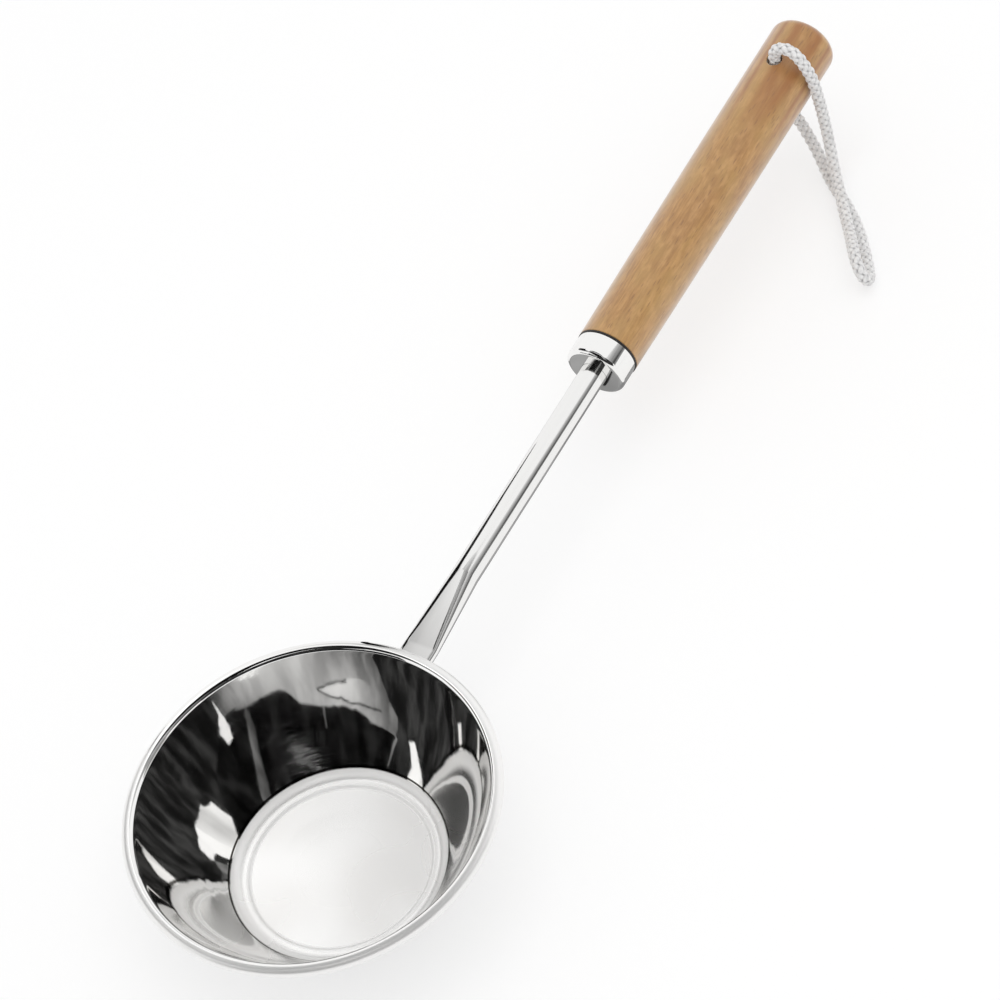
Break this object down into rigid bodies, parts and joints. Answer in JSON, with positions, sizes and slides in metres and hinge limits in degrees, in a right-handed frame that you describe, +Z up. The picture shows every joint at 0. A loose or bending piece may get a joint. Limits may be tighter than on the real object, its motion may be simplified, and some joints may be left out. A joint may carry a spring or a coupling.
{
  "type": "soup ladle",
  "caption": "Deep flat-bottomed sheet-metal ladle bowl with a rolled rim on a straight tube stem, with a ferruled round wooden handle and a braided hanging loop.",
  "frame": {"origin": "centre of the bowl's resting face, on the table", "axes": "+Z up, square to the bowl's resting face; +X from the bowl along the handle"},
  "size_m": [0.4381, 0.135, 0.0666],
  "materials": {
    "polished_steel": "mirror polished",
    "dark_ring": "satin",
    "beech": "clear lacquered, semi-matte",
    "white_cord": "braided, matte"
  },
  "bodies": {
    "root": {"bowl": "polished_steel", "stem": "polished_steel", "spot_welds": "polished_steel", "ferrule": "polished_steel", "seat_ring": "dark_ring", "handle": "beech", "hang_cord": "white_cord"}
  },
  "joints": []
}
